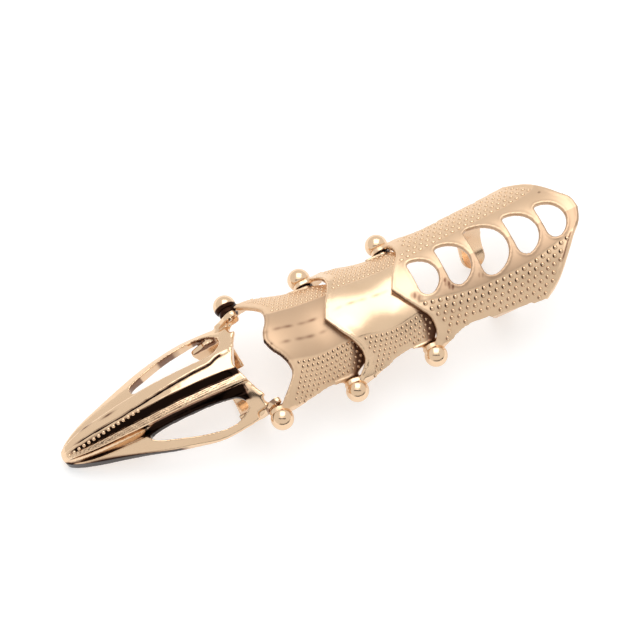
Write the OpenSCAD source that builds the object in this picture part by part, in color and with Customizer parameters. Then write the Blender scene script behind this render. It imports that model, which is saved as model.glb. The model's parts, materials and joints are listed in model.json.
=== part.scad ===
// Articulated full-finger ring: three arched plates and a fingertip claw,
// joined by ball-headed rivets, with an open finger band under the knuckle
// plate and another under the claw.
//
// X runs along the finger, with the knuckle end at +X and the claw's tip at -X.
// Y runs across the finger, the far side at +Y and the near side at -Y. Z is up,
// and Z = 0 is the surface that the ring lies on, back of the finger up.
//
// Each piece is drawn in a frame of its own, with its hinge line on Y.

/* [Plates] */
// Outer radius of a plate's arch at its front hinge
plate_r = 13.3; // [13.2:0.05:13.4]
// How far the arch's axis lies below the hinge line
arch_drop = 7.0; // [6.95:0.05:7.05]
// How much the knuckle plate's arch widens for each millimetre to the rear
knuckle_flare = 0.053; // [0.05:0.001:0.056]
// How steeply the axis of the knuckle plate's arch sinks to the rear, in degrees
knuckle_sink = 2.45; // [2.3:0.05:2.6]
// Thickness of the metal
wall_t = 0.9; // [0.8:0.05:0.95]
// Space between a tucked plate and the plate that covers it
tuck_gap = 0.22; // [0.2:0.01:0.3]

/* [Lengths along the finger] */
// From the knuckle plate's front hinge to its rear tip
knuckle_l = 31.9; // [31.5:0.1:33]
// Distance between the hinges of the middle plate
middle_l = 14.4; // [14:0.1:15]
// Distance between the hinges of the front plate
front_l = 13.7; // [13.4:0.1:14.4]
// From the claw's hinge to its tip
claw_l = 35.2; // [35:0.1:36]

/* [Slopes as the ring lies] */
// How far the front of the knuckle plate dips, in degrees
knuckle_dip = 2.4; // [2:0.1:3]
// How far the front of the middle plate dips
middle_dip = 2.4; // [2:0.1:3]
// How far the front of the front plate dips, negative where it rises
front_dip = -6.6; // [-7.5:0.1:-5.5]
// How far the tip of the claw dips
claw_dip = 12.9; // [12.5:0.1:13.2]

/* [Hinges] */
// Radius of the ball on a rivet
ball_r = 1.9; // [1.75:0.05:2]
// Distance of a ball's centre from the middle of the finger
ball_y = 11.35; // [11.2:0.05:11.5]
// Radius of a rivet's shank
shank_r = 0.7; // [0.6:0.05:0.8]
// Radial clearance of the shank in the piece that turns on it
shank_play = 0.07; // [0.04:0.01:0.1]
// Radius of the ear that holds a rivet
ear_r = 1.6; // [1.5:0.05:1.9]
// Distance of the outer ears' inner face from the middle of the finger
ear_y = 9.5; // [9.45:0.05:9.55]

/* [Finger bands] */
// Radius of the knuckle band, to the middle of the metal
knuckle_band_r = 7.4; // [7.35:0.05:7.5]
// Radius of the claw band, to the middle of the metal
claw_band_r = 7.5; // [7.4:0.05:7.6]
// Width of a band along the finger
band_w = 4.2; // [3.8:0.1:4.4]
// Thickness of a band
band_t = 0.9; // [0.8:0.05:1]

/* [Hidden] */

gold = "#E6C49A";
fine = 96;
small = 36;
huge = 80;

// A tucked plate keeps its front radius as far back as wide_l, and has its
// tucked radius from tuck_l in front of its rear hinge
wide_l = 5;
tuck_r = plate_r - wall_t - tuck_gap;
tuck_l = 3.2;
// Inner ears: the tabs of the piece that turns
tab_out = ear_y - 0.25;
tab_in = tab_out - 0.95;
tab_r = 1.4;
// Length of the arms that carry ears, of those that carry tabs, and the height
// of their top
arm_l = 4.8;
tab_arm_l = 3.2;
arm_top = 1.3;
// Peened end of a rivet inside the ring
peen_r = 1.0;
peen_t = 0.35;
peen_gap = 0.12;
// Hollow in the metal around a peened end
relief_r = 1.25;
press = 0.01;
seat_gap = 0.04;

// Front edge of a plate seen from above: distance across, distance back
// The centre is a blunt peak, then the edge swings back into a notch
knuckle_front = [[0, -2.55], [2.4, -1.3], [4.8, 0.3], [6.2, 1.3], [7.6, 1.55], [9.0, 1.3], [10.5, 0]];
middle_front = [[0, -0.35], [2.8, 1.0], [4.7, 2.2], [6.5, 3.0], [7.6, 3.1], [8.8, 2.6], [10.5, 0.4]];
front_front = [[0, 1.4], [1.7, 2.0], [3.3, 3.1], [5.0, 3.8], [6.4, 3.75], [8.0, 2.4], [9.3, 1.0], [10.5, 0]];
// Rear edge of a tucked plate seen from above, from its rear hinge line
middle_rear = [[0, 0.9], [3, 1.0], [5, 1.4], [6.5, 1.9], [7.6, 2.0], [8.5, 1.3], [9.25, 0.3]];
front_rear = [[0, 0.9], [3, 1.6], [5, 2.6], [6.5, 3.2], [7.6, 3.2], [8.5, 1.6], [9.25, 0.3]];
// Rear edge of the knuckle plate from above, and how it leans to the rear on
// the far side for each millimetre across
knuckle_rear = [[0, 31.9], [2.2, 31.3], [4.1, 29.7], [6.4, 27.9], [9.0, 25.5], [10.8, 22.7], [12.6, 19.8]];
rear_lean = 0.16;
// Sides of the plates from above, where they pass the ears: distance along,
// distance across
knuckle_sides = [[5, 10.5], [10, 12.6]];
link_side_x = 4.5;
// Lower edge of a plate seen from the side: distance along, height
knuckle_low = [[-3, -1.6], [1.2, -1.5], [2.4, -0.2], [3.3, 1.0], [5.0, 1.9], [8, 2.3], [12.4, 1.95], [15.3, 1.8],
    [17.7, 1.65], [20.3, 1.5], [22.5, 1.2], [36, 1.0]];
middle_low = [[-3, -1.6], [1.5, -1.5], [3.3, -0.6], [4.7, 0.5], [6.4, 1.1], [8.1, 1.4], [10.6, 1.3], [12.3, 0.8],
    [13.2, 0], [14.2, -1.3], [18, -1.6]];
front_low = [[-3, -1.6], [1.3, -1.5], [2.6, -0.7], [4, 0.1], [5.6, 0.6], [8.0, 1.0], [10.0, 0.9], [11.6, 0.3],
    [12.6, -0.6], [13.5, -1.4], [18, -1.6]];

// Openings: where the front side of each one lies, its depth, its half width
hole_rows = [
    [1.6, 4.2, 3.6],
    [6.95, 4.75, 4.1],
    [12.7, 5.9, 4.8],
    [19.55, 4.7, 4.1],
    [25.25, 4.15, 3.6]
];
// Corner radius of an opening on the far side and on the near side
far_corner = 0.8;
near_corner = 1.5;

// Bands: place along the piece, height of the centre of the round part, height
// up to which the arms are soldered in, and the open stretch at the lowest
// point, in degrees from straight down
knuckle_band_x = 15.3;
knuckle_band_z = -2.55;
knuckle_band_top = 3.85;
knuckle_band_open = [-34, 34];
claw_band_x = -4.0;
claw_band_top = -0.6;
claw_band_open = [-2, 27];

// Claw: height of its ridge above the hinge line, along its length
claw_ridge = [[5, 2.8], [-1.5, 3.0], [-3.5, 3.1], [-8, 3.7], [-14, 4.2], [-20, 4.0], [-26, 3.4], [-31, 2.6],
    [-34, 1.6], [-35.2, 0.3], [-35.8, -1.0]];
// Claw: half width along its length
claw_side = [[0.8, 9.0], [-3, 9.1], [-6, 9.3], [-10, 9.4], [-14, 8.6], [-18, 7.6], [-22, 6.3], [-26, 5.0],
    [-30, 3.7], [-33, 2.4], [-34.8, 1.2], [-35.2, 0]];
// Claw: half width of the keel along its length, and its height
keel_side = [[-1.5, 3.3], [-6.5, 3.1], [-18, 3.0], [-26, 2.5], [-31, 1.9], [-35.2, 0.9]];
keel_h = 0.7;
// The claw's shell is turned about a line that sinks toward the rear
claw_axis_z = -12.0;
claw_tilt = 14.1;
claw_wall = 1.1;
// The claw's shell is turned a little toward the far side
claw_yaw = 1.5;
claw_tip_wall = 2.6;
// Rear edge of the claw seen from above: distance across, distance back
claw_rear = [[0, -3.05], [2, -2.4], [4.5, -1.45], [6.4, -0.35], [7.6, 0.8], [8.4, 1.45], [9.0, 1.45]];
// Windows of the claw: distance forward, distance across. The near one leaves
// more metal beside the keel.
far_inner = [[-3.6, 5.6], [-4.3, 4.5], [-6.3, 3.5], [-9, 3.2], [-12, 3.1], [-18, 3.1], [-20.2, 3.6]];
near_inner = [[-3.7, 5.9], [-4.5, 5.0], [-6.4, 4.2], [-9, 3.9], [-12, 3.8], [-18, 3.7], [-20.2, 3.9]];
window_outer = [[-20.4, 4.6], [-19.3, 5.6], [-14, 7.4], [-10.3, 8.2], [-7.5, 8.4], [-5.2, 7.9], [-3.7, 6.8]];
// Lower edge of the claw seen from the side
claw_low = [[4, -1.6], [-1, -1.6], [-5, -1.8], [-10, -1.7], [-16, -1.1], [-22, -0.5], [-30, -1.0], [-33, -1.5],
    [-36, -1.95]];

// Places of the hinges as the ring lies on its bands and its tip
function turn(v, dip) = [v[0] * cos(dip) - v[1] * sin(dip), v[0] * sin(dip) + v[1] * cos(dip)];
knuckle_band_low = knuckle_band_z - (knuckle_band_r + band_t / 2) * cos(knuckle_band_open[1]);
joint_1 = [0, -turn([knuckle_band_x - band_w / 2, knuckle_band_low], knuckle_dip)[1]];
joint_2 = joint_1 - turn([middle_l, 0], middle_dip);
joint_3 = joint_2 - turn([front_l, 0], front_dip);
// Height of the surface that the ring lies on, in the claw's own frame
function floor_h(x) = -(joint_3[1] + x * sin(claw_dip)) / cos(claw_dip);
claw_band_z = floor_h(claw_band_x - band_w / 2) + (claw_band_r + band_t / 2) * cos(claw_band_open[0]);
// The origin lies half way between the rear tip and the claw's tip
rear_x = turn([knuckle_l, plate_r - arch_drop - wall_t], knuckle_dip)[0];
tip_x = joint_3[0] + turn([-claw_l, 0], claw_dip)[0];
centre_x = (rear_x + tip_x) / 2;

// Smooth curve through the rows of a table
function blend(p0, p1, p2, p3, t) =
    0.5 * (2 * p1 + (p2 - p0) * t + (2 * p0 - 5 * p1 + 4 * p2 - p3) * t * t
        + (3 * p1 - p0 - 3 * p2 + p3) * t * t * t);
function smooth(rows, steps = 4) = let (last = len(rows) - 1) concat(
    [for (i = [0:last - 1], s = [0:steps - 1])
        blend(rows[max(i - 1, 0)], rows[i], rows[i + 1], rows[min(i + 2, last)], s / steps)],
    [rows[last]]);
function reversed(rows) = [for (i = [len(rows) - 1:-1:0]) rows[i]];
// Outline rows given as distance across, distance along
function swapped(rows) = [for (p = rows) [p[1], p[0]]];

// Places a piece whose own frame has its hinge line on Y
module placed(joint, dip) translate([joint[0] - centre_x, 0, joint[1]]) rotate([0, -dip, 0]) children();

// Both sides of the finger
module both_sides() {
    children();
    mirror([0, 1, 0]) children();
}

// Solid that has an outline given from the side
module side_cut() rotate([90, 0, 0]) linear_extrude(height = 2 * huge, center = true) children();

// Solid that has an outline given from above
module plan_cut() linear_extrude(height = 2 * huge, center = true) children();

// Arch through stations of distance along and outer radius, its axis sinking
// toward the rear by an angle
module arch(stations, sink = 0) {
    outer = swapped(stations);
    inner = [for (p = outer) [p[0] - wall_t, p[1]]];
    translate([0, 0, -arch_drop]) rotate([0, 90 + sink, 0]) rotate_extrude($fn = fine)
        polygon(concat(outer, reversed(inner)));
}

// Everything above the lower edge of a piece
module above(low) {
    edge = smooth(low);
    last = edge[len(edge) - 1];
    polygon(concat(edge, [[last[0], huge], [edge[0][0], huge]]));
}

// Outer ears that hold a pair of rivets, with the arms that carry them
module outer_ears(low) both_sides() translate([0, ear_y + wall_t, 0]) rotate([90, 0, 0])
    linear_extrude(height = wall_t) {
        circle(r = ear_r, $fn = small);
        intersection() {
            translate([0, -ear_r]) square([arm_l, ear_r + arm_top]);
            above(low);
        }
    }

// Inner tabs that turn on a pair of rivets, with the arms that carry them
module inner_tabs(x, low) both_sides() translate([0, tab_out, 0]) rotate([90, 0, 0])
    linear_extrude(height = tab_out - tab_in) {
        translate([x, 0]) circle(r = tab_r, $fn = small);
        intersection() {
            translate([x - tab_arm_l, -tab_r]) square([tab_arm_l, tab_r + arm_top]);
            polygon(low);
        }
    }

// Bores through both ears or both tabs of a hinge line
module pin_holes(x, r) both_sides() translate([x, ear_y + 2, 0]) rotate([90, 0, 0])
    cylinder(r = r, h = 5, $fn = small);

// Room inside both tabs for the peened ends
module reliefs(x) both_sides() translate([x, tab_in, 0]) rotate([90, 0, 0])
    cylinder(r = relief_r, h = 2, $fn = small);

// One rivet on the far side: ball, shank and peened end
module rivet() color(gold) {
    seat = ear_y + wall_t + seat_gap;
    end = tab_in - peen_gap - peen_t;
    difference() {
        translate([0, ball_y, 0]) sphere(r = ball_r, $fn = small);
        translate([-5, seat - 10, -5]) cube([10, 10, 10]);
    }
    translate([0, ball_y, 0]) rotate([90, 0, 0]) cylinder(r = shank_r, h = ball_y - end, $fn = small);
    translate([0, end + peen_t, 0]) rotate([90, 0, 0]) cylinder(r = peen_r, h = peen_t, $fn = small);
}

// Upright loop of a band: round below its centre, straight above it
module band_loop(r, top) {
    circle(r = r, $fn = fine);
    translate([-r, 0]) square([2 * r, top]);
}

// Open finger band that stands across the finger, centred at x and z
module band(r, x, z, top, gap) {
    bite = 3 * r;
    arm = top - z;
    translate([x - band_w / 2, 0, z]) rotate([90, 0, 90]) linear_extrude(height = band_w) difference() {
        intersection() {
            band_loop(r + band_t / 2, max(arm, 1));
            translate([-huge, -huge]) square([2 * huge, huge + arm]);
        }
        band_loop(r - band_t / 2, huge);
        polygon([[0, 0], [bite * sin(gap[0]), -bite * cos(gap[0])], [bite * sin(gap[1]), -bite * cos(gap[1])]]);
    }
}

// Points along an arc
function arc(centre, r, from, to, steps) =
    [for (i = [0:steps]) let (angle = from + (to - from) * i / steps) centre + r * [cos(angle), sin(angle)]];

// One opening: round at the rear, straight with round corners at the front
function corner_across(centre, half, r) = sqrt(pow(half - r, 2) - pow(r - centre, 2));
module opening(depth, half) {
    centre = depth - half;
    far_y = corner_across(centre, half, far_corner);
    near_y = corner_across(centre, half, near_corner);
    far_meet = atan2(far_y, far_corner - centre);
    near_meet = atan2(near_y, near_corner - centre);
    polygon(concat(
        arc([centre, 0], half, -near_meet, far_meet, 20),
        arc([far_corner, far_y], far_corner, far_meet, 180, 4),
        arc([near_corner, -near_y], near_corner, 180, 360 - near_meet, 5)));
}

// Plan of the knuckle plate, whose rear edge leans
function leaning(side) = [for (p = smooth(knuckle_rear)) [p[1] + side * p[0] * rear_lean, side * p[0]]];
module knuckle_plan() for (side = [-1, 1])
    polygon(concat(
        [for (p = swapped(smooth(knuckle_front))) [p[0], side * p[1]]],
        [for (p = knuckle_sides) [p[0], side * p[1]]],
        reversed(leaning(side))));

module knuckle_plate() color(gold) placed(joint_1, knuckle_dip) difference() {
    ends = [-4, knuckle_l + 6];
    union() {
        difference() {
            intersection() {
                arch([for (x = ends) [x, plate_r + x * knuckle_flare]], knuckle_sink);
                plan_cut() knuckle_plan();
                side_cut() above(knuckle_low);
            }
            for (row = hole_rows)
                translate([row[0], 0, 0]) linear_extrude(height = 20) opening(row[1], row[2]);
        }
        outer_ears(knuckle_low);
        band(knuckle_band_r, knuckle_band_x, knuckle_band_z, knuckle_band_top, knuckle_band_open);
    }
    pin_holes(0, shank_r - press);
}

// A tucked plate with ears at its front hinge and tabs at its rear hinge
module link_plate(front, rear, low, length) difference() {
    front_edge = swapped(smooth(front));
    rear_edge = [for (p = reversed(swapped(smooth(rear)))) [p[0] + length, p[1]]];
    sides = [[link_side_x, ear_y + wall_t], [length - 2.3, tab_out]];
    edge = smooth(low);
    union() {
        intersection() {
            arch([[-4, plate_r], [wide_l, plate_r], [length - tuck_l, tuck_r], [length + 4, tuck_r]]);
            plan_cut() for (side = [-1, 1])
                polygon([for (p = concat(front_edge, sides, rear_edge)) [p[0], side * p[1]]]);
            side_cut() above(low);
        }
        outer_ears(low);
        inner_tabs(length, concat(edge, [[huge, huge], [-huge, huge]]));
    }
    pin_holes(0, shank_r - press);
    pin_holes(length, shank_r + shank_play);
    reliefs(length);
}

module middle_plate() color(gold) placed(joint_2, middle_dip)
    link_plate(middle_front, middle_rear, middle_low, middle_l);

module front_plate() color(gold) placed(joint_3, front_dip)
    link_plate(front_front, front_rear, front_low, front_l);

// Point of the claw's side view in the frame of the line it is turned about:
// distance from the line, which stays above a least value, distance along it
least_r = 0.2;
function about_axis(p) = let (h = p[1] - claw_axis_z)
    [max(p[0] * sin(claw_tilt) + h * cos(claw_tilt), least_r), p[0] * cos(claw_tilt) - h * sin(claw_tilt)];

// Skin of the claw, its outer side some depth under the ridge line
module claw_skin(depth) {
    ridge = smooth(claw_ridge, 3);
    outer = [for (p = ridge) about_axis([p[0], p[1] - depth])];
    inner = [for (p = ridge) let (forward = pow(p[0] / claw_l, 2))
        about_axis([p[0], p[1] - depth - claw_wall * (1 - forward) - claw_tip_wall * forward])];
    translate([0, 0, claw_axis_z]) rotate([0, 90 + claw_tilt, 0]) rotate_extrude($fn = fine)
        polygon(concat(outer, reversed(inner)));
}

module claw_plan() {
    half = concat(swapped(smooth(claw_rear)), smooth(claw_side));
    polygon(half);
    mirror([0, 1]) polygon(half);
}

module window_plan(inner) plan_cut() polygon(concat(smooth(inner), smooth(window_outer)));

module keel_plan() {
    side = smooth(keel_side);
    polygon(concat(side, [for (p = reversed(side)) [p[0], -p[1]]]));
}

// Side view of the arms that join the claw's sides to its tabs
claw_arm = [[-3.2, -1.45], [0, -tab_r], [0, tab_r], [-1.0, 1.0], [-2.0, 0.3], [-3.2, -0.1]];

// Side view of what lies above the claw's lower edge and above the surface
module claw_above() intersection() {
    polygon(concat(smooth(claw_low), [[-huge, -3], [-huge, huge], [huge, huge], [huge, -1.6]]));
    polygon([[-huge, floor_h(-huge)], [huge, floor_h(huge)], [huge, huge], [-huge, huge]]);
}

// Shell of the claw with its keel and its two windows
module claw_shell() intersection() {
    difference() {
        union() {
            claw_skin(keel_h);
            intersection() {
                claw_skin(0);
                plan_cut() keel_plan();
            }
        }
        window_plan(far_inner);
        mirror([0, 1, 0]) window_plan(near_inner);
    }
    plan_cut() claw_plan();
}

module claw() color(gold) placed(joint_3, claw_dip) difference() {
    union() {
        intersection() {
            rotate([0, 0, -claw_yaw]) claw_shell();
            side_cut() claw_above();
        }
        inner_tabs(0, claw_arm);
        band(claw_band_r, claw_band_x, claw_band_z, claw_band_top, claw_band_open);
    }
    pin_holes(0, shank_r + shank_play);
    reliefs(0);
}

module knuckle_rivet_far() placed(joint_1, knuckle_dip) rivet();
module knuckle_rivet_near() placed(joint_1, knuckle_dip) mirror([0, 1, 0]) rivet();
module middle_rivet_far() placed(joint_2, middle_dip) rivet();
module middle_rivet_near() placed(joint_2, middle_dip) mirror([0, 1, 0]) rivet();
module front_rivet_far() placed(joint_3, front_dip) rivet();
module front_rivet_near() placed(joint_3, front_dip) mirror([0, 1, 0]) rivet();

knuckle_plate();
middle_plate();
front_plate();
claw();
knuckle_rivet_far();
knuckle_rivet_near();
middle_rivet_far();
middle_rivet_near();
front_rivet_far();
front_rivet_near();
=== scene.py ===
"""Articulated full-finger ring in polished light gold: the cast look of its plates, claw and rivets."""

import json
import bmesh
import bpy
import numpy as np
from mathutils import Matrix, Vector
from mathutils.bvhtree import BVHTree
from mathutils.kdtree import KDTree


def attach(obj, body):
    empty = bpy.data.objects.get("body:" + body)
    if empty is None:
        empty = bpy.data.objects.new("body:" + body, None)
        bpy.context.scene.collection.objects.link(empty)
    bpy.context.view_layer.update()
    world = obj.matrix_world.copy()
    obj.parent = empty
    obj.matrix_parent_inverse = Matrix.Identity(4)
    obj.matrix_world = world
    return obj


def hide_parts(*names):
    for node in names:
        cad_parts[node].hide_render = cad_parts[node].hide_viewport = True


MM = 0.001
scene = bpy.context.scene
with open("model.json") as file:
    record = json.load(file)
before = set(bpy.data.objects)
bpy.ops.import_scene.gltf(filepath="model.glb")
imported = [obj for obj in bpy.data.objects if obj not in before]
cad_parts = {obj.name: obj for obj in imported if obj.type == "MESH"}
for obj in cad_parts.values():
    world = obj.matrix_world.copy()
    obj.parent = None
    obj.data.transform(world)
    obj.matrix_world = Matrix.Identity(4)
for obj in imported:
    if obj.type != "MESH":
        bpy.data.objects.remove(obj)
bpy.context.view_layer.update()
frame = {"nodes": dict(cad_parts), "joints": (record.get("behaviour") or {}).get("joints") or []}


def hinge_line(name):
    """Place of a hinge line along the finger and its height, in millimetres."""
    x, _, z = next(joint["pos_m"] for joint in frame["joints"] if joint["name"] == name)
    return x / MM, z / MM


JOINT_1 = hinge_line("knuckle_hinge")
JOINT_2 = hinge_line("middle_hinge")
JOINT_3 = hinge_line("claw_hinge")
# Dip of each piece's front, in degrees
KNUCKLE_DIP = 2.4
MIDDLE_DIP = 2.4
FRONT_DIP = -6.6
CLAW_DIP = 12.9
# Arch of the plates: outer radius, how far its axis lies under the hinges, wall
PLATE_R = 13.3
ARCH_DROP = 7.0
WALL = 0.9
# A tucked plate: its gap to the plate that covers it, how far back it keeps its front radius, and how far
# in front of its rear hinge it reaches its tucked radius
TUCK_GAP = 0.22
WIDE_L = 5
TUCK_L = 3.2
TUCK_R = PLATE_R - WALL - TUCK_GAP

# Front and rear edges of the plates: distance across, distance along
KNUCKLE_FRONT = [[0, -2.55], [2.4, -1.3], [4.8, 0.3], [6.2, 1.3], [7.6, 1.55], [9.0, 1.3], [10.5, 0]]
MIDDLE_FRONT = [[0, -0.35], [2.8, 1.0], [4.7, 2.2], [6.5, 3.0], [7.6, 3.1], [8.8, 2.6], [10.5, 0.4]]
FRONT_FRONT = [[0, 1.4], [1.7, 2.0], [3.3, 3.1], [5.0, 3.8], [6.4, 3.75], [8.0, 2.4], [9.3, 1.0], [10.5, 0]]
KNUCKLE_REAR = [[0, 31.9], [2.2, 31.3], [4.1, 29.7], [6.4, 27.9], [9.0, 25.5], [10.8, 22.7], [12.6, 19.8]]
REAR_LEAN = 0.16
# Half widths over which the front edges and the knuckle plate's rear edge are rolled
FRONT_HALF = 9.6
REAR_HALF = 12.2
# Distance across that parts the outer ears from the tabs between them
EAR_SIDE = 9.3
MIDDLE_REAR = [[0, 0.9], [3, 1.0], [5, 1.4], [6.5, 1.9], [7.6, 2.0], [8.5, 1.3], [9.25, 0.3]]
FRONT_REAR = [[0, 0.9], [3, 1.6], [5, 2.6], [6.5, 3.2], [7.6, 3.2], [8.5, 1.6], [9.25, 0.3]]
MIDDLE_L = 14.4
FRONT_L = 13.7
# Growth of the knuckle plate's radius along it, and the angle at which its axis sinks
FLARE = 0.053
KNUCKLE_SINK = 2.45
# Knuckle band: place along the finger, half width, height of its centre, radius, half of its open angle
BAND_X = 15.3
BAND_HALF = 2.1
BAND_Z = -2.55
BAND_R = 7.4
BAND_OPEN = 34
# Lower edge of each plate: distance along, height
KNUCKLE_LOW = [[-3, -1.6], [1.2, -1.5], [2.4, -0.2], [3.3, 1.0], [5, 1.9], [8, 2.3], [12.4, 1.95],
               [15.3, 1.8], [17.7, 1.65], [20.3, 1.5], [22.5, 1.2], [36, 1.0]]
MIDDLE_LOW = [[-3, -1.6], [1.5, -1.5], [3.3, -0.6], [4.7, 0.5], [6.4, 1.1], [8.1, 1.4], [10.6, 1.3],
              [12.3, 0.8], [13.2, 0], [14.2, -1.3], [18, -1.6]]
FRONT_LOW = [[-3, -1.6], [1.3, -1.5], [2.6, -0.7], [4, 0.1], [5.6, 0.6], [8, 1.0], [10, 0.9], [11.6, 0.3],
             [12.6, -0.6], [13.5, -1.4], [18, -1.6]]
# Openings: front side, depth, half width
OPENINGS = [[1.6, 4.2, 3.6], [6.95, 4.75, 4.1], [12.7, 5.9, 4.8], [19.55, 4.7, 4.1], [25.25, 4.15, 3.6]]
# Radii of an opening's two front corners
FAR_CORNER = 0.8
NEAR_CORNER = 1.5

# Half width of the smooth band along the top: distance along, distance across
KNUCKLE_SMOOTH_NEAR = [[1, 3.9], [3.7, 4.4], [6.6, 5.0], [10, 5.5], [15, 5.6], [20, 5.3], [26.5, 4.1],
                       [30, 3.2]]
KNUCKLE_SMOOTH_FAR = [[1, 4.1], [4, 4.5], [10, 5.2], [15, 5.6], [20, 5.9], [24, 6.3], [27, 7.2],
                      [30, 9.5]]
MIDDLE_SMOOTH_NEAR = [[0, 5.0], [4, 5.1], [8, 5.6], [11, 5.5], [14, 5.0]]
MIDDLE_SMOOTH_FAR = [[0, 4.5], [8, 4.8], [14, 4.9]]
FRONT_SMOOTH_NEAR = [[0, 4.5], [4, 4.6], [8, 4.9], [11, 4.7], [14, 4.3]]
FRONT_SMOOTH_FAR = [[0, 4.8], [8, 5.0], [14, 5.1]]

# Beads: distance along a row, distance between rows, radius and height
LARGE_BEADS = (1.25, 1.12, 0.37, 0.24)
SMALL_BEADS = (0.92, 0.84, 0.29, 0.19)
# Beads on the claw: number, first place along, distance between them, radius, height
CLAW_BEADS = (15, -18.5, 0.92, 0.37, 0.34)
# Rows of beads laid out on each side of a plate, before those off the plate are dropped
BEAD_ROWS = 22
# How far a bead is set into the surface
BEAD_SINK = 0.05
# Width of the smooth rim behind the front edge: distance across, width
RIM_CLEAR = [[0, 0.8], [4, 0.9], [7, 1.3], [9, 2.0], [13, 2.0]]

# Painted black shadow on the seats and ears that are black
BLACK_SHADOW = 0.95
# Dark spots on the knuckle and front plates: along, across, size, strength
KNUCKLE_SPOTS = [[6.2, -2.4, 0.9, 0.9], [6.3, -3.1, 1.1, 0.9], [6.6, -3.8, 1.0, 0.95],
                 [11.9, -4.0, 1.1, 0.7], [0.4, -2.6, 1.0, 0.8], [0.9, -3.3, 1.0, 0.7],
                 [27.7, 5.7, 0.4, 0.95]]
FRONT_SPOTS = [[2.3, -1.0, 0.45, 0.9]]
# Painted dark reflection streaks along the smooth bands: across, strength, from, to
MIDDLE_STREAKS = [[0.7, 0.55, 1, 12]]
FRONT_STREAKS = [[-1.5, 0.5, 3, 13], [1.2, 0.5, 1, 13]]

# Claw: its turn to the far side in degrees, the place of its band and its lower edge
CLAW_YAW = 1.5
CLAW_BAND_X = -4.0
CLAW_LOW = [[-36, -1.95], [-33, -1.5], [-30, -1.0], [-22, -0.5], [-16, -1.1], [-10, -1.7], [-5, -1.8],
            [4, -1.6]]
# Half width of the strip between the claw's windows
CLAW_STRIP = [[-35.2, 1.0], [-31, 2.1], [-26, 2.7], [-18, 3.15], [-6.5, 3.3], [-1.5, 3.6], [5, 3.6]]
# Heights across that strip: place as a share of the half width, height added
STRIP_HEIGHT = [[-1.35, -1.2], [-1.2, -1.05], [-0.95, -0.2], [-0.9, 0.0], [-0.61, 0.05], [-0.56, -0.25],
                [-0.48, -0.3], [-0.22, 0.5], [-0.14, 0.58], [0.12, 0.55], [0.17, 0.1], [0.27, 0.1],
                [0.33, 0.35], [0.9, 0.1], [1.1, -0.05], [1.3, -0.05]]
# Share of those heights, along the claw
STRIP_FADE = [[-36, 0.35], [-33, 0.7], [-29, 1], [-8, 1], [-3.2, 0.15], [-2, 0], [6, 0]]
# Distance between two ribs, as a share of the half width
RIB_PITCH = 0.095
# Short dark dashes on the far side near the tip: along, across
CLAW_DASHES = [[-29.4, 0.85], [-25.1, 0.64]]
# Where the groove lies across the strip, along the claw
GROOVE = [[-35, 0.1], [-25, 0.03], [-20, 0.1], [-15.4, 0.22], [-9.4, 0.4], [-6.5, 0.46], [-3.8, 0.72],
          [5, 0.8]]


def smooth_rows(rows, steps=6):
    """Points of a smooth curve through the rows."""
    p = np.array(rows, float)
    out = []
    for i in range(len(p) - 1):
        a, b, c, d = p[max(i - 1, 0)], p[i], p[i + 1], p[min(i + 2, len(p) - 1)]
        for t in np.arange(steps) / steps:
            out.append(0.5 * (2 * b + (c - a) * t + (2 * a - 5 * b + 4 * c - d) * t**2
                              + (3 * b - a - 3 * c + d) * t**3))
    out.append(p[-1])
    return np.array(out)


def curve_value(rows, at):
    """Second column of a smooth table at places in its first column."""
    p = smooth_rows(rows)
    order = np.argsort(p[:, 0])
    return np.interp(at, p[order, 0], p[order, 1])


def ramp(value, low, high):
    """Smooth step from 0 at low to 1 at high."""
    t = np.clip((value - low) / (high - low), 0, 1)
    return t * t * (3 - 2 * t)


def span(value, low, low_end, high, high_end):
    """1 between low_end and high, falling to 0 at low and at high_end."""
    return ramp(value, low, low_end) * (1 - ramp(value, high, high_end))


def hump(value, centre, width):
    """Bell of height 1 round the centre."""
    return np.exp(-((value - centre) / width) ** 2)


class Local:
    """Frame of a piece, in millimetres, with its hinge line on Y."""

    def __init__(self, joint, dip):
        self.joint = joint
        self.cos, self.sin = np.cos(np.radians(dip)), np.sin(np.radians(dip))

    def inward(self, points):
        dx = points[:, 0] / MM - self.joint[0]
        dz = points[:, 2] / MM - self.joint[1]
        x = dx * self.cos + dz * self.sin
        z = dz * self.cos - dx * self.sin
        return np.stack([x, points[:, 1] / MM, z], 1)

    def outward(self, points):
        x = self.joint[0] + points[:, 0] * self.cos - points[:, 2] * self.sin
        z = self.joint[1] + points[:, 0] * self.sin + points[:, 2] * self.cos
        return np.stack([x, points[:, 1], z], 1) * MM


class Arch:
    """Outer surface of a plate: its radius along the finger about an axis that may sink."""

    def __init__(self, stations, sink=0.0):
        self.stations = np.array(stations, float)
        self.slope = np.tan(np.radians(sink))

    def cad_radius(self, x):
        return np.interp(x, self.stations[:, 0], self.stations[:, 1])

    def radius(self, x):
        """The same radius without the creases of a tucked plate."""
        if len(self.stations) == 2:
            return self.cad_radius(x)
        return PLATE_R - (PLATE_R - TUCK_R) * ramp(x, 3, self.stations[2, 0] + 0.8)

    def axis_z(self, x):
        return -ARCH_DROP - self.slope * x

    def point(self, x, y):
        r = self.radius(x)
        return np.stack([x, y, self.axis_z(x) + np.sqrt(np.maximum(r**2 - y**2, 0))], 1)

    def depth(self, p):
        """Distance of points inside the outer surface, and their unit radial directions in Y and Z."""
        dy, dz = p[:, 1], p[:, 2] - self.axis_z(p[:, 0])
        r = np.hypot(dy, dz)
        return self.cad_radius(p[:, 0]) - r, dy / r, dz / r


def mesh_points(mesh):
    co = np.empty(len(mesh.vertices) * 3)
    mesh.vertices.foreach_get("co", co)
    return co.reshape(-1, 3)


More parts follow.
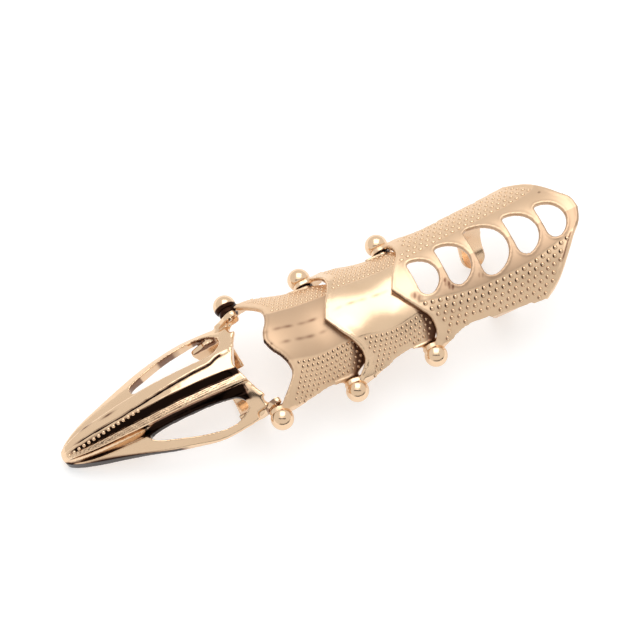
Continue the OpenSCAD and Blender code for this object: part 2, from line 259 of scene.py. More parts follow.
def mesh_normals(mesh):
    no = np.empty(len(mesh.vertices) * 3)
    mesh.vertex_normals.foreach_get("vector", no)
    return no.reshape(-1, 3)


# What softening takes off the edges, given back all round
SWELL = 0.05


def cast_mesh(node, voxel, rounds):
    """Copy of a CAD node with its edges rounded as in a casting."""
    mesh = frame["nodes"][node].data.copy()
    bm = bmesh.new()
    bm.from_mesh(mesh)
    bmesh.ops.remove_doubles(bm, verts=bm.verts, dist=0.002 * MM)
    bm.to_mesh(mesh)
    bm.free()
    mesh.materials.clear()
    draft = bpy.data.objects.new(node + "_draft", mesh)
    scene.collection.objects.link(draft)
    cells = draft.modifiers.new("cells", "REMESH")
    cells.mode = "VOXEL"
    cells.voxel_size = voxel * MM
    soften = draft.modifiers.new("soften", "SMOOTH")
    soften.factor = 0.5
    soften.iterations = rounds
    graph = bpy.context.evaluated_depsgraph_get()
    made = bpy.data.meshes.new_from_object(draft.evaluated_get(graph))
    bpy.data.objects.remove(draft)
    made.name = node + "_cast"
    write_points(made, mesh_points(made) + mesh_normals(made) * SWELL * MM)
    return made


def nearest(points, edge_points):
    """Distance from each point to the nearest edge point."""
    tree = KDTree(len(edge_points))
    for i, p in enumerate(edge_points):
        tree.insert(Vector(p), i)
    tree.balance()
    return np.array([tree.find(Vector(p))[2] for p in points])


def dense(rows, step=0.12):
    """Line through the rows with points at most a step apart."""
    p = np.array(rows, float)
    out = [p[:1]]
    for a, b in zip(p[:-1], p[1:]):
        n = max(int(np.linalg.norm(b - a) / step), 1)
        out.append(a + (b - a) * np.arange(1, n + 1)[:, None] / n)
    return np.concatenate(out)


def opening_outline(front, depth, half):
    """Plan of an opening: a round rear end and two rounded front corners."""
    centre = depth - half
    across, meets = [], []
    for corner in (FAR_CORNER, NEAR_CORNER):
        inward = corner - centre
        across.append(np.sqrt((half - corner) ** 2 - inward**2))
        meets.append(np.arctan2(across[-1], inward))
    around = np.linspace(-meets[1], meets[0], 60)
    arc = np.stack([centre + half * np.cos(around), half * np.sin(around)], 1)
    turn = np.linspace(meets[0], np.pi, 12)
    far = np.stack([FAR_CORNER * (1 + np.cos(turn)), across[0] + FAR_CORNER * np.sin(turn)], 1)
    turn = np.linspace(np.pi, 2 * np.pi - meets[1], 12)
    near = np.stack([NEAR_CORNER * (1 + np.cos(turn)), -across[1] + NEAR_CORNER * np.sin(turn)], 1)
    return np.concatenate([arc, far, near, arc[:1]]) + [front, 0]


def bead_cap(sides=10, rings=4):
    """Half ellipsoid of unit radius and height, its rim a little below zero."""
    verts = [(0, 0, 1)]
    for k in range(1, rings + 1):
        polar = np.pi / 2 * k / rings
        for j in range(sides):
            turn = 2 * np.pi * j / sides
            height = np.cos(polar) - 0.25 * (k == rings)
            verts.append((np.sin(polar) * np.cos(turn), np.sin(polar) * np.sin(turn), height))
    faces = [(0, 1 + j, 1 + (j + 1) % sides) for j in range(sides)]
    for k in range(1, rings):
        a, b = 1 + (k - 1) * sides, 1 + k * sides
        faces += [(a + j, b + j, b + (j + 1) % sides, a + (j + 1) % sides) for j in range(sides)]
    return np.array(verts), faces


CAP_VERTS, CAP_FACES = bead_cap()
# Side of a bead that gets a painted dark reflection
DARK_REFLECTION_SIDE = np.array([-0.93, 0.3, -0.2])


def beads_mesh(name, places, normals, radii, heights, darks, shaded_sides):
    """One mesh with a bead at each place, in metres. The side toward the tip gets a painted dark reflection.
    """
    verts, faces, all_darks = [], [], []
    for at, up, r, h, dark, shaded in zip(places, normals, radii, heights, darks, shaded_sides):
        w = Vector(up).normalized()
        u = w.orthogonal().normalized()
        v = w.cross(u)
        base = len(verts) * len(CAP_VERTS)
        axes = np.array([u, v, w])
        verts.append(at + (CAP_VERTS * [r, r, h]) @ axes)
        toward_tip = (CAP_VERTS * [1, 1, 0]) @ axes @ DARK_REFLECTION_SIDE
        all_darks.append(np.maximum(dark, shaded * ramp(toward_tip, 0.1, 0.6)))
        faces += [tuple(base + i for i in f) for f in CAP_FACES]
    mesh = bpy.data.meshes.new(name)
    mesh.from_pydata(np.concatenate(verts).tolist(), [], faces)
    set_dark(mesh, np.concatenate(all_darks))
    return mesh


def set_layer(mesh, name, values):
    """Stores one number from 0 to 1 at each vertex, for the materials."""
    layer = mesh.attributes.new(name, "FLOAT", "POINT")
    layer.data.foreach_set("value", np.clip(values, 0, 1).astype(np.float32))


def set_dark(mesh, values):
    set_layer(mesh, "dark", values)


def write_points(mesh, points):
    mesh.vertices.foreach_set("co", points.reshape(-1).astype(np.float32))
    mesh.update()


def joined(name, meshes, material):
    """One object from several meshes, smooth shaded, with one material."""
    objects = []
    for mesh in meshes:
        part = bpy.data.objects.new(name, mesh)
        scene.collection.objects.link(part)
        mesh.materials.clear()
        mesh.materials.append(material)
        mesh.polygons.foreach_set("use_smooth", np.ones(len(mesh.polygons), bool))
        objects.append(part)
    if len(objects) > 1:
        with bpy.context.temp_override(active_object=objects[0], selected_editable_objects=objects):
            bpy.ops.object.join()
    objects[0].name = name
    return objects[0]


def shown(piece, node, body):
    """Puts a piece in the place of its CAD node."""
    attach(piece, body)
    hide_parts(node)


def map_range(tree, value, from_low, from_high, to_low, to_high, kind="LINEAR"):
    """Result of a Map Range node."""
    node = tree.nodes.new("ShaderNodeMapRange")
    node.interpolation_type = kind
    node.inputs["From Min"].default_value = from_low
    node.inputs["From Max"].default_value = from_high
    node.inputs["To Min"].default_value = to_low
    node.inputs["To Max"].default_value = to_high
    tree.links.new(value, node.inputs["Value"])
    return node.outputs["Result"]


def math_node(tree, kind, *values):
    """Result of a Math node on sockets and numbers."""
    node = tree.nodes.new("ShaderNodeMath")
    node.operation = kind
    for slot, value in zip(node.inputs, values):
        if isinstance(value, float):
            slot.default_value = value
        else:
            tree.links.new(value, slot)
    return node.outputs["Value"]


def mixed(tree, factor, base, colour):
    """Colour mixed over a base, which is a colour or a socket."""
    node = tree.nodes.new("ShaderNodeMix")
    node.data_type = "RGBA"
    if isinstance(base, tuple):
        node.inputs["A"].default_value = base
    else:
        tree.links.new(base, node.inputs["A"])
    node.inputs["B"].default_value = colour
    tree.links.new(factor, node.inputs["Factor"])
    return node.outputs["Result"]


def noise(tree, place, scale, detail):
    node = tree.nodes.new("ShaderNodeTexNoise")
    node.inputs["Scale"].default_value = scale
    node.inputs["Detail"].default_value = detail
    tree.links.new(place, node.inputs["Vector"])
    return node.outputs["Fac"]


def layer_value(tree, name):
    node = tree.nodes.new("ShaderNodeAttribute")
    node.attribute_name = name
    return node.outputs["Fac"]


GOLD = (0.79, 0.555, 0.36, 1)
PALE_GOLD = (0.87, 0.645, 0.44, 1)
# Colours of the painted shade and dark reflections: maroon, and near black where deepest
MAROON = (0.11, 0.028, 0.011, 1)
SHADE_BLACK = (0.012, 0.006, 0.004, 1)


def gold_material(name, wave_scale, wave_depth, roughness):
    """Polished light gold with painted shade in its hollows and the painted shade and reflections of the dark
    layer, faint waves and worn, slightly duller patches.
    """
    mat = bpy.data.materials.new(name)
    mat.use_nodes = True
    tree = mat.node_tree
    shader = tree.nodes["Principled BSDF"]
    shader.inputs["Metallic"].default_value = 1.0

    place = tree.nodes.new("ShaderNodeTexCoord").outputs["Object"]
    patches = noise(tree, place, 220, 3)
    tint = mixed(tree, patches, GOLD, PALE_GOLD)

    # Painted shade: hollows darkened by ambient occlusion, then joined with the painted dark layer
    hollow = tree.nodes.new("ShaderNodeAmbientOcclusion")
    hollow.samples = 8
    hollow.only_local = True
    hollow.inputs["Distance"].default_value = 0.45 * MM
    shade = map_range(tree, hollow.outputs["AO"], 0.35, 0.9, 0.7, 0)
    painted_dark = math_node(tree, "MAXIMUM", shade, layer_value(tree, "dark"))
    shaded_tint = mixed(tree, painted_dark, tint, MAROON)
    deepest_shade = map_range(tree, painted_dark, 0.84, 0.97, 0, 1)
    tree.links.new(mixed(tree, deepest_shade, shaded_tint, SHADE_BLACK), shader.inputs["Base Color"])

    wear = map_range(tree, patches, 0, 1, roughness, roughness + 0.1)
    rough = math_node(tree, "MULTIPLY_ADD", layer_value(tree, "matte"), 0.3, wear)
    tree.links.new(rough, shader.inputs["Roughness"])

    bump = tree.nodes.new("ShaderNodeBump")
    bump.inputs["Strength"].default_value = 0.5
    bump.inputs["Distance"].default_value = wave_depth * MM
    tree.links.new(noise(tree, place, wave_scale, 2), bump.inputs["Height"])
    tree.links.new(bump.outputs["Normal"], shader.inputs["Normal"])
    return mat


plate_gold = gold_material("plate_gold", 260, 0.06, 0.16)
claw_gold = gold_material("claw_gold", 420, 0.05, 0.1)
ball_gold = gold_material("ball_gold", 300, 0.03, 0.1)


def front_x(front, y):
    return curve_value(front, np.abs(y))


class Plan:
    """Outline of a plate: its edges, its smooth band, its openings and the plate that covers it."""

    def __init__(self, front, rear, low, smooth_near, smooth_far, openings=(), cover=None):
        self.front = front
        self.rear = rear
        self.low = low
        self.smooth_near = smooth_near
        self.smooth_far = smooth_far
        self.openings = openings
        self.cover = cover

    def smooth_half(self, p):
        """Half width of the smooth band beside the points."""
        near = curve_value(self.smooth_near, p[:, 0])
        return np.where(p[:, 1] < 0, near, curve_value(self.smooth_far, p[:, 0]))

    def behind_rim(self, p):
        """Distance of points behind the smooth rim of the front edge."""
        return p[:, 0] - front_x(self.front, p[:, 1]) - curve_value(RIM_CLEAR, np.abs(p[:, 1]))

    def above_low(self, p):
        return p[:, 2] - curve_value(self.low, p[:, 0])

    def edges(self, arch):
        """Close points along the edges that show, and along the openings."""
        across = np.linspace(-FRONT_HALF, FRONT_HALF, 160)
        shown_edges = [np.stack([front_x(self.front, across), across], 1)]
        if self.openings:
            across = np.linspace(-REAR_HALF, REAR_HALF, 160)
            shown_edges.append(np.stack([self.rear(across), across], 1))
        holes = [opening_outline(*row) for row in self.openings]
        return [[dense(arch.point(e[:, 0], e[:, 1])) for e in group] for group in (shown_edges, holes)]


def bead_places(arch, plan, pitch, row_step):
    """Places of the beads on a plate: staggered rows along the edge of the smooth band on each side."""
    rows = []
    for side, edge in ((-1, plan.smooth_near), (1, plan.smooth_far)):
        for row in range(BEAD_ROWS):
            x = np.arange(-1.0 + (row % 2) * pitch / 2, 34, pitch)
            r = arch.radius(x)
            angle = np.arcsin(curve_value(edge, x) / r) + (row * row_step + 0.5) / r
            p = np.stack([x, side * r * np.sin(angle), arch.axis_z(x) + r * np.cos(angle)], 1)
            keep = (angle < 1.5) & (plan.above_low(p) > 0.5) & (plan.behind_rim(p) > 0)
            keep &= ~((x < 3.6) & (p[:, 2] < 1.6))
            keep &= x < plan.rear(p[:, 1]) - 0.95
            rows.append(np.column_stack([p, np.full(len(x), row)])[keep])
    return np.concatenate(rows)


def cover_shadow(p, cover):
    """Painted shadow on a tucked plate beside the edge of the plate that covers it, on the near side."""
    if cover is None:
        return np.zeros(len(p))
    front, length, reach = cover
    gap = front_x(front, p[:, 1]) + length - p[:, 0]
    width = 0.2 + reach * ramp(-p[:, 1], 3.5, 8.0)
    return 0.9 * (1 - ramp(gap, 0.55 * width, 1.25 * width)) * ramp(-p[:, 1], 3.4, 5.0)


class Skin:
    """How the points of a plate lie to its outer surface, its edges and its smooth band."""

    def __init__(self, p, normals, arch, plan):
        self.p = p
        self.normals = normals
        self.depth, self.uy, self.uz = arch.depth(p)
        self.outer = 1 - ramp(self.depth, 0.15, 0.45)
        on_ear = (np.abs(p[:, 1]) >= EAR_SIDE) & (p[:, 0] <= 4)
        self.on_arch = (self.depth > -0.15) & (self.depth < 1.1) & ~on_ear
        edges, holes = plan.edges(arch)
        self.to_outline = nearest(p, np.concatenate(edges))
        self.to_opening = nearest(p, np.concatenate(holes)) if holes else np.full(len(p), 9.0)
        self.to_edge = np.minimum(self.to_outline, self.to_opening)
        self.beyond = np.abs(p[:, 1]) - plan.smooth_half(p)
        self.field = ramp(self.beyond, -0.15, 0.1) * ramp(self.to_edge, 0.6, 0.9)
        self.field *= self.outer * self.on_arch * ramp(plan.behind_rim(p), -0.4, 0)
        self.field *= ramp(plan.above_low(p), 0.1, 0.4)
        self.field *= 1 - (p[:, 0] < 3.4) * (p[:, 2] < 1.4)

    def lift(self, arch):
        """Height added to the points: no creases, rolled rims and a slightly sunken beaded field."""
        x = self.p[:, 0]
        creased = (np.abs(self.depth) < 0.12) & (self.to_edge > 0.5)
        untucked = arch.radius(x) - arch.cad_radius(x)
        lift = np.where(creased, self.depth, 0) + np.where(self.on_arch, untucked, 0)
        rims = 0.08 * hump(self.to_outline, 0.35, 0.32) + 0.03 * hump(self.to_opening, 0.3, 0.3)
        return lift + self.outer * self.on_arch * rims - 0.05 * self.field


def band_painted_dark(skin, plan, band_dark, streaks):
    """Painted shade on the smooth band, set for its near and far sides, with painted dark reflection streaks
    along the finger.
    """
    p = skin.p
    dark = skin.outer * skin.on_arch * (1 - ramp(skin.beyond, -0.3, 0.1))
    if plan.openings:
        dark = dark * ramp(p[:, 0], 1.5, 5)
    dark = dark * np.where(p[:, 1] < 0, band_dark[0], band_dark[1])
    for line, strength, first, last in streaks:
        along = span(p[:, 0], first, first + 2, last - 2, last)
        ripple = 0.5 + 0.5 * np.sin(p[:, 0] * 2.1 + line) * np.sin(p[:, 0] * 0.77 + 2 * line)
        wander = line + 0.15 * np.sin(p[:, 0] * 0.5)
        dark += skin.outer * strength * along * ripple * hump(p[:, 1], wander, 0.28)
    return dark


def ear_in_black_shadow(skin, whole_rim):
    """Where the far ear gets painted black shadow: its inner face, and on request its rim too."""
    p = skin.p
    from_hinge = np.hypot(p[:, 0], p[:, 2])
    black = (p[:, 1] > 9) & (p[:, 1] < 9.75) & (skin.normals[:, 1] < -0.6) & (from_hinge < 1.7)
    if whole_rim:
        black |= (p[:, 1] > EAR_SIDE) & (from_hinge < 2.2) & (p[:, 2] > -0.2) & (p[:, 0] < 1.6)
    return black


def plate_painted_dark(skin, plan, band_dark, streaks, spots, whole_rim):
    """Painted shade and dark reflections at each point of a plate, from 0 to 1, with dark spots."""
    p, normals = skin.p, skin.normals
    dark = band_painted_dark(skin, plan, band_dark, streaks)
    # Painted dark reflection on the plate's front wall, strong on the near half and faint on the far half
    front_wall = ramp(-normals[:, 0], 0.4, 0.7) * (skin.to_edge < 1.3) * skin.on_arch * (p[:, 0] < 4.5)
    dark += front_wall * np.where(p[:, 1] < 0.2, 0.86 - 0.45 * ramp(-p[:, 1], 4, 7), 0.12)
    # Painted black shadow on the far ear
    dark = np.where(ear_in_black_shadow(skin, whole_rim), BLACK_SHADOW, dark)
    # Painted shade on the walls inside the openings
    radial = normals[:, 1] * skin.uy + normals[:, 2] * skin.uz
    opening_wall = (skin.to_opening < 1.2) * skin.on_arch * (1 - ramp(np.abs(radial), 0.35, 0.75))
    dark = np.maximum(dark, opening_wall * 0.4)
    # Painted shade along a line just before the rear edge, on the near side
    if plan.openings:
        to_rear = plan.rear(p[:, 1]) - p[:, 0]
        along_rear = span(-p[:, 1], 3.4, 3.8, 6.6, 7.6)
        dark = np.maximum(dark, skin.outer * 0.95 * hump(to_rear, 0.75, 0.2) * along_rear)
    for x, y, size, strength in spots:
        reach = np.hypot(p[:, 0] - x, p[:, 1] - y) / size
        grain = 0.82 + 0.18 * np.sin(p[:, 0] * 8 - p[:, 1] * 4)
        dark = np.maximum(dark, skin.outer * strength * (1 - ramp(reach, 0.2, 1.0)) * grain)
    return np.maximum(dark, cover_shadow(p, plan.cover) * skin.outer)


def surface_tree(mesh):
    faces = [tuple(f.vertices) for f in mesh.polygons]
    return BVHTree.FromPolygons([Vector(c) for c in mesh_points(mesh)], faces)


def plate_beads(mesh, name, local, arch, plan, beads):
    """Beads seated on the skin of a plate, the two rows next to the smooth band the largest."""
    pitch, row_step, bead_r, bead_h = beads
    places = bead_places(arch, plan, pitch, row_step)
    q, row = places[:, :3].copy(), places[:, 3]
    _, uy, uz = arch.depth(q)
    q[:, 1] -= uy * BEAD_SINK
    q[:, 2] -= uz * BEAD_SINK
    up = local.outward(q + np.stack([0 * uy, uy, uz], 1)) - local.outward(q)
    tree = surface_tree(mesh)
    found = [tree.find_nearest(Vector(c)) for c in local.outward(q)]
    seated = np.array([hit[3] < 0.2 * MM and hit[1].dot(Vector(u).normalized()) > 0.8
                       for hit, u in zip(found, up)])
    q, up, row = q[seated], up[seated], row[seated]
    near = q[:, 1] < 0
    size = np.where(row < 2, 1.08, 1.0) * MM
    height = bead_h * size * np.where(near, 1.0, 0.62)
    # Painted dark reflection on each bead's side, strong on the near side and faint on the far; painted
    # shadow of the covering plate
    shaded = np.where(near, np.where(row < 2, 1.0, 0.8), 0.12)
    dark = 0.5 * cover_shadow(q, plan.cover)
    return beads_mesh(name, local.outward(q), up, bead_r * size, height, dark, shaded)


def plate(body, local, arch, plan, beads, streaks=(), spots=(), band_matte=0.0, band_dark=(0, 0)):
    """A beaded plate with rolled rims, a smooth band along its top and painted shade in the hollows between
    its beads.
    """
    node = body + "_plate"
    mesh = cast_mesh(node, voxel=0.17, rounds=5)
    start = local.inward(mesh_points(mesh))
    normals = local.inward(mesh_points(mesh) + mesh_normals(mesh) * MM) - start
    skin = Skin(start, normals, arch, plan)
    lift = skin.lift(arch)
    p = start.copy()
    p[:, 1] += skin.uy * lift
    p[:, 2] += skin.uz * lift
    taper_ears(p)
    round_band_ends(p, start)
    write_points(mesh, local.outward(p))
    set_dark(mesh, plate_painted_dark(skin, plan, band_dark, streaks, spots, body == "front"))
    set_layer(mesh, "matte", np.maximum(0.5 * skin.field, skin.outer * band_matte))
    soften(mesh, (np.hypot(start[:, 0], start[:, 2]) < 2.6) & (np.abs(start[:, 1]) > 8.9), 8)
    bead_mesh = plate_beads(mesh, node + "_beads", local, arch, plan, beads)
    shown(joined(node + "_cast", [mesh, bead_mesh], plate_gold), node, body)


def soften(mesh, chosen, rounds):
    """Smooths the chosen part of a mesh."""
    bm = bmesh.new()
    bm.from_mesh(mesh)
    bm.verts.ensure_lookup_table()
    verts = [bm.verts[i] for i in np.flatnonzero(chosen)]
    for _ in range(rounds):
        bmesh.ops.smooth_vert(bm, verts=verts, factor=0.5,
                              use_axis_x=True, use_axis_y=True, use_axis_z=True)
    bm.to_mesh(mesh)
    bm.free()


def taper_ears(p):
    """Narrows the outer ears toward their balls, so that an ear and its ball read as one knob."""
    side = np.abs(p[:, 1])
    on_ear = (np.hypot(p[:, 0], p[:, 2]) < 1.8) & (side > 9.4)
    shrink = 1 - 0.08 * ramp(side, 9.5, 10.4) * on_ear
    p[:, 2] *= shrink
    rise = 0.55 * (1 - ramp(np.hypot(p[:, 0], p[:, 2]), 1.2, 2.3)) * ramp(side, 9.9, 10.3)
    p[:, 0] *= shrink
    p[:, 1] += np.sign(p[:, 1]) * rise


def round_band_ends(p, start):
    """Gives the free ends of the knuckle band round corners."""
    in_band = (start[:, 2] < -5) & (np.abs(start[:, 0] - BAND_X) < BAND_HALF + 0.1)
    dz = start[:, 2] - BAND_Z
    angle = np.degrees(np.arctan2(np.abs(start[:, 1]), -dz)) - BAND_OPEN
    reach = np.clip(np.radians(angle) * BAND_R / BAND_HALF, 0, 1)
    width = np.sqrt(np.clip(1 - (1 - reach) ** 2, 0.02, 1))
    p[:, 0] = np.where(in_band, BAND_X + (p[:, 0] - BAND_X) * width, p[:, 0])


def knuckle_rear(y):
    return curve_value(KNUCKLE_REAR, np.abs(y)) + REAR_LEAN * y


def tucked_rear(rows, length):
    """Rear edge of a tucked plate, set half a millimetre out because its beads come closer to it."""
    return lambda y: curve_value(rows, np.abs(y)) + length + 0.5


def tucked_arch(length):
    return Arch([[-4, PLATE_R], [WIDE_L, PLATE_R], [length - TUCK_L, TUCK_R], [19, TUCK_R]])


plate("knuckle", Local(JOINT_1, KNUCKLE_DIP),
      Arch([[-4, PLATE_R - 4 * FLARE], [38, PLATE_R + 38 * FLARE]], KNUCKLE_SINK),
      Plan(KNUCKLE_FRONT, knuckle_rear, KNUCKLE_LOW, KNUCKLE_SMOOTH_NEAR, KNUCKLE_SMOOTH_FAR, OPENINGS),
      LARGE_BEADS, spots=KNUCKLE_SPOTS, band_matte=0.6, band_dark=(0.42, 0.15))
plate("middle", Local(JOINT_2, MIDDLE_DIP), tucked_arch(MIDDLE_L),
      Plan(MIDDLE_FRONT, tucked_rear(MIDDLE_REAR, MIDDLE_L), MIDDLE_LOW, MIDDLE_SMOOTH_NEAR,
           MIDDLE_SMOOTH_FAR, cover=(KNUCKLE_FRONT, MIDDLE_L, 1.9)),
      SMALL_BEADS, streaks=MIDDLE_STREAKS)
plate("front", Local(JOINT_3, FRONT_DIP), tucked_arch(FRONT_L),
      Plan(FRONT_FRONT, tucked_rear(FRONT_REAR, FRONT_L), FRONT_LOW, FRONT_SMOOTH_NEAR, FRONT_SMOOTH_FAR,
           cover=(MIDDLE_FRONT, FRONT_L, 2.7)),
      SMALL_BEADS, FRONT_STREAKS, FRONT_SPOTS, 0.9, (0.31, 0.31))


class Strip:
    """How the points of the claw lie to the fluted strip between its windows, turned by the claw's yaw."""

    def __init__(self, p, normals):
        yaw = np.radians(CLAW_YAW)
        self.x = p[:, 0] * np.cos(yaw) - p[:, 1] * np.sin(yaw)
        self.y = p[:, 0] * np.sin(yaw) + p[:, 1] * np.cos(yaw)
        self.half = curve_value(CLAW_STRIP, self.x)
        across = self.y / self.half
        groove = curve_value(GROOVE, self.x)
        self.across = across
        self.straight = across - (groove - 0.22) * ramp(across, -0.14, groove - 0.04)
        self.inside = 1 - np.where(across < 0, ramp(-across, 1.25, 1.45), ramp(across, 1.05, 1.25))
        self.top = (p[:, 2] > 0.4).astype(float)
        self.normals = normals
        self.outer = ramp(normals[:, 2], 0.05, 0.4)
        self.rib_turn = (across + 0.75) / RIB_PITCH * 2 * np.pi
        self.in_ribs = span(across, -0.92, -0.88, -0.62, -0.58)

    def relief(self):
        """Height added across the strip: its facets, grooves and ribs."""
        table = np.array(STRIP_HEIGHT)
        height = np.interp(self.straight, table[:, 0], table[:, 1])
        flutes = 0.06 * np.cos(self.rib_turn) * self.in_ribs
        fade = curve_value(STRIP_FADE, self.x) * self.half / 3.2
        low_part = np.where(self.outer > 0.5, 1.0, 0.8)
        return self.inside * self.top * fade * (height * low_part + flutes * self.outer)

    def on_far_rail(self, low, high):
        """Points beyond the far window, between two places along the claw."""
        return (self.y > self.half + 0.9) & (self.x > low) & (self.x < high)

    def painted_dark(self):
        """Painted dark reflections on the strip: a black near facet, two black grooves and dark lines between
        the ribs; and short dark dashes.
        """
        ahead = -self.x
        facet_low = -1.75 + 0.5 * ramp(ahead, 19.5, 22)
        facet_top = -0.93 - 0.24 * ramp(ahead, 18.5, 23)
        facet = span(self.across, facet_low, facet_low + 0.06, facet_top - 0.05, facet_top)
        facet *= span(ahead, 2.3, 3.2, 28, 31) * ramp(self.normals[:, 2], -0.4, -0.1)
        channel_top = -0.2 - 0.05 * ramp(ahead, 24, 30)
        black = span(self.across, -0.58, -0.53, channel_top, channel_top + 0.05)
        black *= span(ahead, 2.2, 2.8, 32.8, 33.8)
        black += span(self.straight, 0.11, 0.15, 0.28, 0.32) * span(ahead, 3.6, 4.4, 31, 33)
        between_ribs = ramp(-np.cos(self.rib_turn), 0.3, 0.9) * self.in_ribs
        black += 0.75 * between_ribs * span(ahead, 4, 5, 32, 34)
        for dash_x, dash_across in CLAW_DASHES:
            black += hump(self.x, dash_x, 1.1) * hump(self.across, dash_across, 0.07)
        black *= ramp(self.normals[:, 2], -0.1, 0.2) * self.inside
        return np.clip(np.maximum(black, facet), 0, 1) * self.top


def flare_band(p, start):
    """Widens the far arm of the claw band toward the tip, near where it joins the shell."""
    far_arm = (start[:, 1] > 5.5) & (start[:, 1] < 8.3) & (start[:, 2] < 1.5)
    far_arm &= np.abs(start[:, 0] - CLAW_BAND_X) < 2.25
    forward = np.clip((CLAW_BAND_X - start[:, 0]) / 2.1, 0, 1)
    p[:, 0] -= far_arm * 2.4 * forward * span(start[:, 2], -6.5, -2.0, -1.5, -0.8)


def trim_tabs(p, start):
    """Trims the rims of the claw's hinge tabs, so that they clear the front plate's ears as they turn."""
    trim = 0.22 * ramp(np.abs(start[:, 1]), 7.7, 8.2) * ramp(start[:, 0], -1.2, 0.2)
    trim *= ramp(np.hypot(start[:, 0], start[:, 2]), 1.2, 1.6)
    p[:, 0] *= 1 - trim
    p[:, 2] *= 1 - trim


def claw_shape(start, strip):
    """The claw's points with its relief, the sag of its far rail, its rear corners, band and tabs."""
    p = start.copy()
    p[:, 2] += strip.relief()
    sagging = strip.on_far_rail(-21.5, -3.4) & (strip.y < 8.9) & (p[:, 2] > -2.5)
    sagging &= strip.normals[:, 2] < 0.1
    p[:, 2] -= 0.7 * sagging * span(-strip.x, 5.5, 8, 17, 21.5)
    corner = ramp(np.abs(start[:, 1]), 4.8, 8.2) * hump(start[:, 0], 0.9, 2.1)
    p[:, 2] += 1.6 * corner * (1 - ramp(start[:, 2], -0.6, 3.4))
    flare_band(p, start)
    trim_tabs(p, start)
    return p


def claw_painted_dark(start, strip):
    """Painted dark reflections and shade at each point of the claw: its strip, near skirt, near tab and the
    walls inside its windows.
    """
    x, normals = strip.x, strip.normals
    # Painted dark reflection on the near skirt, up to a height above the lower edge
    skirt_h = 1.2 + 1.0 * ramp(-x, 18, 30)
    above_low = start[:, 2] + strip.relief() - curve_value(CLAW_LOW, start[:, 0])
    skirt = 0.96 * (1 - ramp(above_low, skirt_h - 0.12, skirt_h + 0.12)) * (start[:, 1] < 0)
    skirt *= ramp(-normals[:, 1], 0.1, 0.3) * ramp(-x, 15, 17)
    # Painted dark reflection on the near tab, in stripes
    tab = 0.7 * ramp(-start[:, 1], 7.9, 8.3) * (start[:, 0] > -1.7)
    tab *= ramp(np.sin(start[:, 0] * 3.1 + start[:, 1] * 2.0), -0.3, 0.4)
    # Painted shade in blotches on the far rail's wall inside the far window
    far_wall = strip.on_far_rail(-22, -3.6) & (normals[:, 1] < -0.35) & (start[:, 2] > -1.6)
    blotches = ramp(np.sin(x * 0.9 + 0.6) + 0.35 * np.sin(x * 2.3), -0.4, 0.1)
    # Painted shade on the near arm seen inside the near window
    near_arm = (start[:, 1] < -5.5) & (start[:, 0] < -2.2) & (start[:, 0] > -6.3) & (start[:, 2] < -0.5)
    near_wall = 0.75 * near_arm * ramp(normals[:, 1], 0.2, 0.6)
    return np.maximum.reduce([strip.painted_dark(), skirt, tab, 0.85 * far_wall * blotches, near_wall])


def claw_beads(mesh, local):
    """A row of small beads along the top of the strip, toward the tip."""
    yaw = np.radians(CLAW_YAW)
    tree = surface_tree(mesh)
    count, first_x, pitch, bead_r, bead_h = CLAW_BEADS
    places, ups = [], []
    for step in range(count):
        x = first_x - step * pitch
        y = (-0.14 - 0.015 * step) * curve_value(CLAW_STRIP, x)
        turned_back = [x * np.cos(yaw) + y * np.sin(yaw), y * np.cos(yaw) - x * np.sin(yaw), 12.0]
        above = Vector(local.outward(np.array([turned_back]))[0])
        hit, up, _, _ = tree.ray_cast(above, Vector((0, 0, -1)))
        if hit is not None:
            places.append(np.array(hit) - np.array(up) * BEAD_SINK * MM)
            ups.append(np.array(up))
    ones = np.ones(len(places))
    return beads_mesh("claw_beads", places, ups, bead_r * MM * ones, bead_h * MM * ones, 0 * ones, 0.3 * ones)


def claw_piece():
    """The claw: a fluted spine between its windows, facets darkened with painted dark reflections and a row
    of small beads.
    """
    local = Local(JOINT_3, CLAW_DIP)
    mesh = cast_mesh("claw", voxel=0.15, rounds=5)
    start = local.inward(mesh_points(mesh))
    strip = Strip(start, mesh_normals(mesh))
    write_points(mesh, local.outward(claw_shape(start, strip)))
    set_dark(mesh, claw_painted_dark(start, strip))
    side = np.abs(start[:, 1])
    soften(mesh, (start[:, 0] > -4.6) & (side > 5.2), 8)
    soften(mesh, (start[:, 0] > -2.0) & (side > 4.2) & (side < 7.9), 18)
    soften(mesh, (np.abs(start[:, 0] - CLAW_BAND_X) < 5) & (start[:, 1] > 5.0) & (start[:, 2] < -0.6), 5)
    shown(joined("claw_cast", [mesh, claw_beads(mesh, local)], claw_gold), "claw", "claw")


claw_piece()

# Inner face of a peened end, almost flush with the tab
PEEN_FACE = 8.2


def rivet(body, side):
    """A ball-headed rivet; the seat of the front ones gets painted black shadow."""
    node = f"{body}_rivet_{side}"
    mesh = cast_mesh(node, voxel=0.13, rounds=2)
    points = mesh_points(mesh)
    points[:, 1] = np.sign(points[:, 1]) * np.maximum(np.abs(points[:, 1]), PEEN_FACE * MM)
    write_points(mesh, points)
    # Painted black shadow on the seat of the front rivets
    seat = (points[:, 1] < 11.1 * MM) & (points[:, 1] > 9 * MM) & (body == "front")
    set_dark(mesh, BLACK_SHADOW * seat)
    shown(joined(node + "_cast", [mesh], ball_gold), node, body)


for rivet_body in ("knuckle", "middle", "front"):
    rivet(rivet_body, "far")
    rivet(rivet_body, "near")


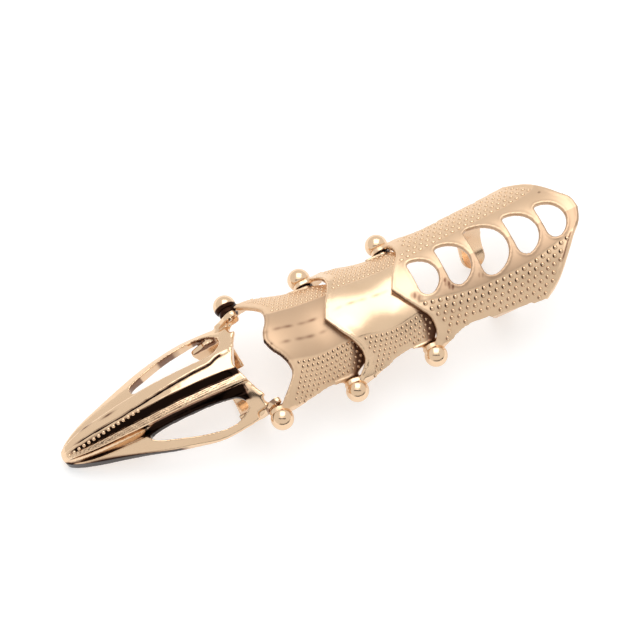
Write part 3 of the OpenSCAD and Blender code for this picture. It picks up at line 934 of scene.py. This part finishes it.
# Camera: the photograph's viewing angle, distance and framing
AZIMUTH, ELEVATION, ROLL = np.radians([-26.6, 63.0, 1.06])
CAMERA_DISTANCE = 0.518
LOOKED_AT = Vector((0.00533, 0, 0.00591))
right = Vector((np.cos(AZIMUTH), np.sin(AZIMUTH), 0))
level = np.cos(ELEVATION)
back = Vector((np.sin(AZIMUTH) * level, -np.cos(AZIMUTH) * level, np.sin(ELEVATION)))
above = back.cross(right)
rolled_right = np.cos(ROLL) * right + np.sin(ROLL) * above
rolled_up = -np.sin(ROLL) * right + np.cos(ROLL) * above
camera_data = bpy.data.cameras.new("camera")
camera_data.lens = 174.8
camera_data.sensor_width = 36
camera_data.shift_x = -0.0494
camera_data.shift_y = 0.0159
camera_data.clip_start = 0.01
camera = bpy.data.objects.new("camera", camera_data)
scene.collection.objects.link(camera)
turned = Matrix((rolled_right, rolled_up, back)).transposed().to_4x4()
camera.matrix_world = Matrix.Translation(LOOKED_AT + CAMERA_DISTANCE * back) @ turned
scene.camera = camera


def studio():
    """White surroundings, brighter overhead, with a dark strip behind the camera and a dark low near side."""
    world = bpy.data.worlds.new("studio")
    scene.world = world
    world.use_nodes = True
    tree = world.node_tree
    way = tree.nodes.new("ShaderNodeTexCoord").outputs["Generated"]

    def along(direction):
        dot = tree.nodes.new("ShaderNodeVectorMath")
        dot.operation = "DOT_PRODUCT"
        dot.inputs[1].default_value = direction
        tree.links.new(way, dot.inputs[0])
        return dot.outputs["Value"]

    def stepped(value, *limits):
        return map_range(tree, value, *limits, "SMOOTHSTEP")

    soft_box = Vector((-0.08, 0.0, 1.0)).normalized()
    near_side = Vector((0, -1, 0))
    straight_up = Vector((0, 0, 1))
    bright = stepped(along(soft_box), 0.91, 0.985, 0.88, 1.4)
    across = stepped(math_node(tree, "ABSOLUTE", along(rolled_right)), 0.5, 0.62, 1, 0)
    upward = stepped(math_node(tree, "ABSOLUTE", along(rolled_up)), 0.05, 0.1, 1, 0)
    gap = math_node(tree, "MULTIPLY", math_node(tree, "MULTIPLY", across, upward),
                    stepped(along(back), 0.2, 0.3, 0, 1))
    horizon = math_node(tree, "MULTIPLY", stepped(along(near_side), 0.55, 0.8, 0, 1),
                        stepped(along(straight_up), 0.12, 0.22, 1, 0))
    shut = math_node(tree, "MAXIMUM", gap, horizon)
    open_part = math_node(tree, "SUBTRACT", 1.0, shut)
    light = math_node(tree, "MULTIPLY", bright, open_part)
    background = tree.nodes["Background"]
    background.inputs["Color"].default_value = (1, 0.99, 0.975, 1)
    tree.links.new(light, background.inputs["Strength"])


studio()

lamp_data = bpy.data.lights.new("softbox", "AREA")
lamp_data.size = 0.5
lamp_data.energy = 1.2
lamp = bpy.data.objects.new("softbox", lamp_data)
lamp.location = (0.12, 0.22, 0.55)
lamp.rotation_euler = (Vector(lamp.location)).to_track_quat("Z", "Y").to_euler()
scene.collection.objects.link(lamp)

FLOOR_HALF = 1.5
floor_mesh = bpy.data.meshes.new("floor")
corners = [(a * FLOOR_HALF, b * FLOOR_HALF, 0) for a, b in ((-1, -1), (1, -1), (1, 1), (-1, 1))]
floor_mesh.from_pydata(corners, [], [(0, 1, 2, 3)])
floor = bpy.data.objects.new("floor", floor_mesh)
scene.collection.objects.link(floor)
paper = bpy.data.materials.new("paper")
paper.use_nodes = True
paper_shader = paper.node_tree.nodes["Principled BSDF"]
paper_shader.inputs["Base Color"].default_value = (0.6, 0.6, 0.6, 1)
paper_shader.inputs["Roughness"].default_value = 0.9
paper_shader.inputs["Emission Color"].default_value = (1, 1, 1, 1)
paper_shader.inputs["Emission Strength"].default_value = 0.5
floor_mesh.materials.append(paper)

scene.view_settings.view_transform = "Standard"
